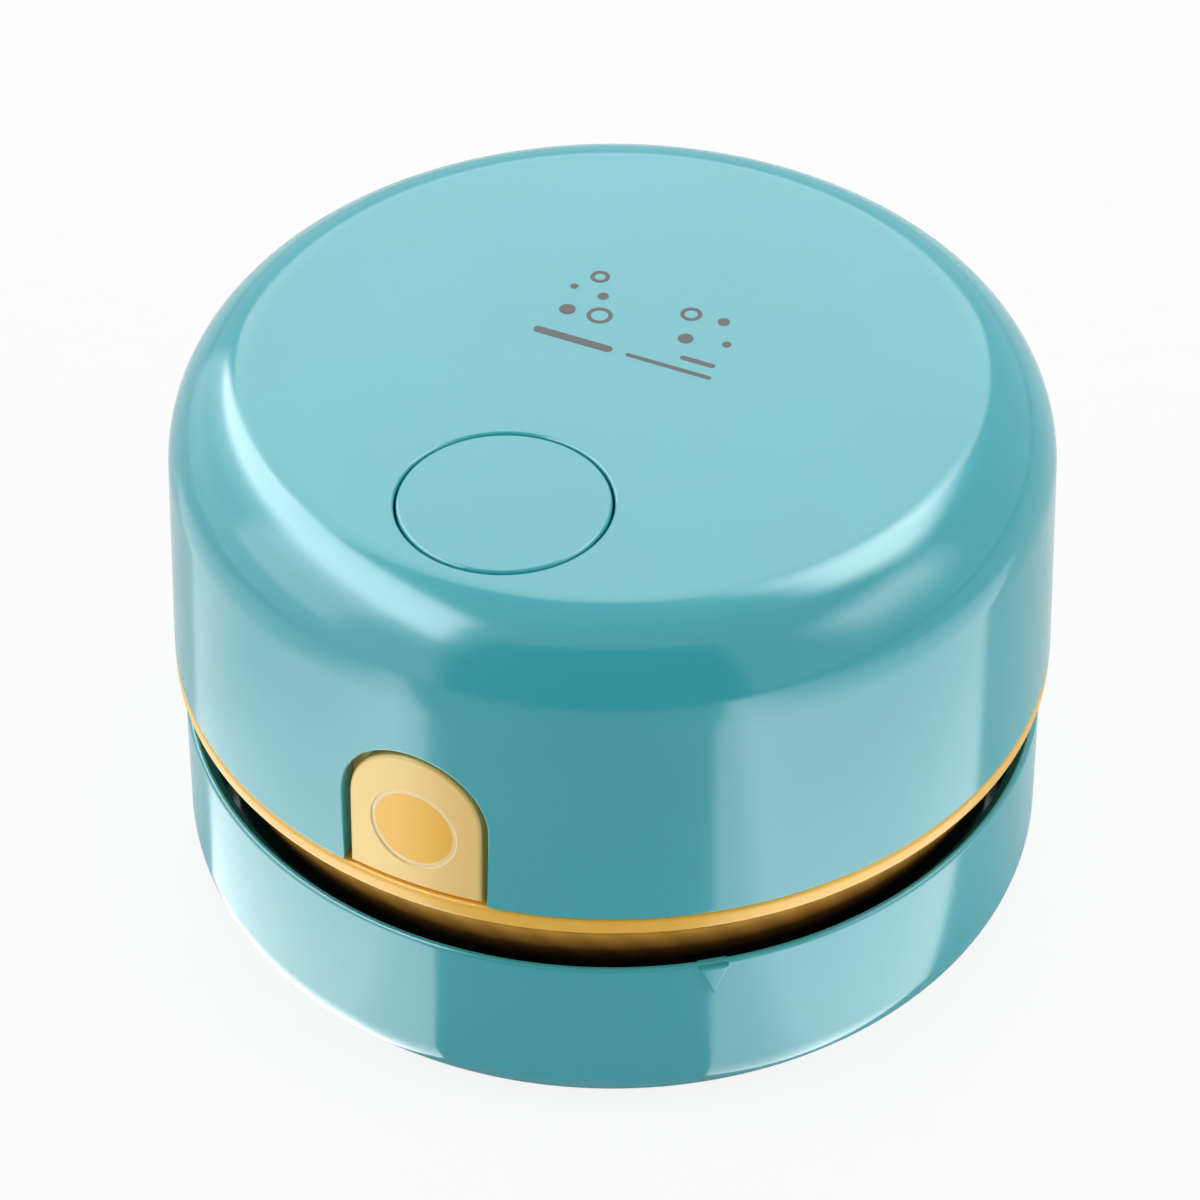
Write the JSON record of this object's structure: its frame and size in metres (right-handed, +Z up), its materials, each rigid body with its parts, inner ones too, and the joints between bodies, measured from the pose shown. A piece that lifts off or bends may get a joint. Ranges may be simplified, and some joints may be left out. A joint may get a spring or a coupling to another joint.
{
  "type": "desktop mini vacuum cleaner",
  "caption": "Round palm-size desk vacuum with a big top button, yellow release tab, twist-off dust cup, radial fan and a suction slot with bristle strips underneath.",
  "frame": {"origin": "on the desk under the middle of the round body, at the level of the glide feet", "axes": "+Z up through the fan's shaft, -Y towards the front with the power button and the release tab, +X to the right seen from the front"},
  "size_m": [0.086, 0.086, 0.0572],
  "materials": {
    "teal": "semi-gloss moulded turquoise",
    "yellow": "semi-gloss moulded yellow",
    "pale_yellow": "semi-gloss moulded pale yellow",
    "smoke": "smoked clear plastic",
    "grey_plastic": "moulded grey",
    "black_plastic": "moulded black",
    "white_plastic": "moulded white",
    "circuit_board": "green solder mask",
    "screw_steel": "zinc plated",
    "spring_steel": "drawn wire",
    "motor_steel": "plated sheet",
    "shaft_steel": "ground",
    "bronze": "sintered bronze and tinned brass",
    "nickel": "nickel plated",
    "cell_wrap": "shrink sleeve",
    "light_pipe": "clear",
    "seal_rubber": "soft black",
    "filter_mesh": "woven nylon",
    "filter_felt": "pressed felt",
    "bristle_nylon": "nylon bristle",
    "glide_plastic": "slippery pad"
  },
  "bodies": {
    "housing": {"upper_housing": "teal", "button_spring": "spring_steel", "power_switch": "black_plastic", "switch_board": "circuit_board", "board_screws": "screw_steel", "mid_frame": "yellow", "release_spring": "spring_steel", "motor_mount": "grey_plastic", "motor_can": "motor_steel", "motor_bearing": "bronze", "motor_end_cap": "black_plastic", "motor_terminals": "bronze", "motor_screws": "screw_steel", "battery_cell": "cell_wrap", "battery_tabs": "nickel", "charge_board": "circuit_board", "charge_socket": "nickel", "charge_light": "light_pipe", "frame_screws": "screw_steel", "sleeve_seal": "seal_rubber"},
    "power_button": {"power_button": "teal", "switch_plunger": "white_plastic"},
    "release_button": {"release_button": "pale_yellow"},
    "fan": {"impeller": "white_plastic", "motor_shaft": "shaft_steel"},
    "dust_cup": {"base_cup": "teal", "dust_collar": "smoke", "filter_frame": "grey_plastic", "filter_mesh": "filter_mesh", "filter_pad": "filter_felt", "bristle_bar_front": "grey_plastic", "bristle_bar_rear": "grey_plastic", "bristles_front": "bristle_nylon", "bristles_rear": "bristle_nylon", "glide_foot_1": "glide_plastic", "glide_foot_2": "glide_plastic", "glide_foot_3": "glide_plastic", "glide_foot_4": "glide_plastic"}
  },
  "joints": [
    {"name": "power_press", "type": "slide", "parent": "housing", "child": "power_button", "axis": [0, 0, -1], "range_m": [0, 0.0012], "stiffness_N_per_m": 400, "springref_m": -0.002, "deforming": ["button_spring"]},
    {"name": "release_press", "type": "slide", "parent": "housing", "child": "release_button", "axis": [0, 1, 0], "range_m": [0, 0.0012], "stiffness_N_per_m": 500, "springref_m": -0.002, "deforming": ["release_spring"]},
    {"name": "fan_spin", "type": "hinge", "parent": "housing", "child": "fan", "pos_m": [0, 0, 0.034], "axis": [0, 0, 1], "continuous": true},
    {"name": "cup_twist", "type": "hinge", "parent": "housing", "child": "dust_cup", "pos_m": [0, 0, 0.012], "axis": [0, 0, -1], "range_deg": [0, 38]}
  ]
}
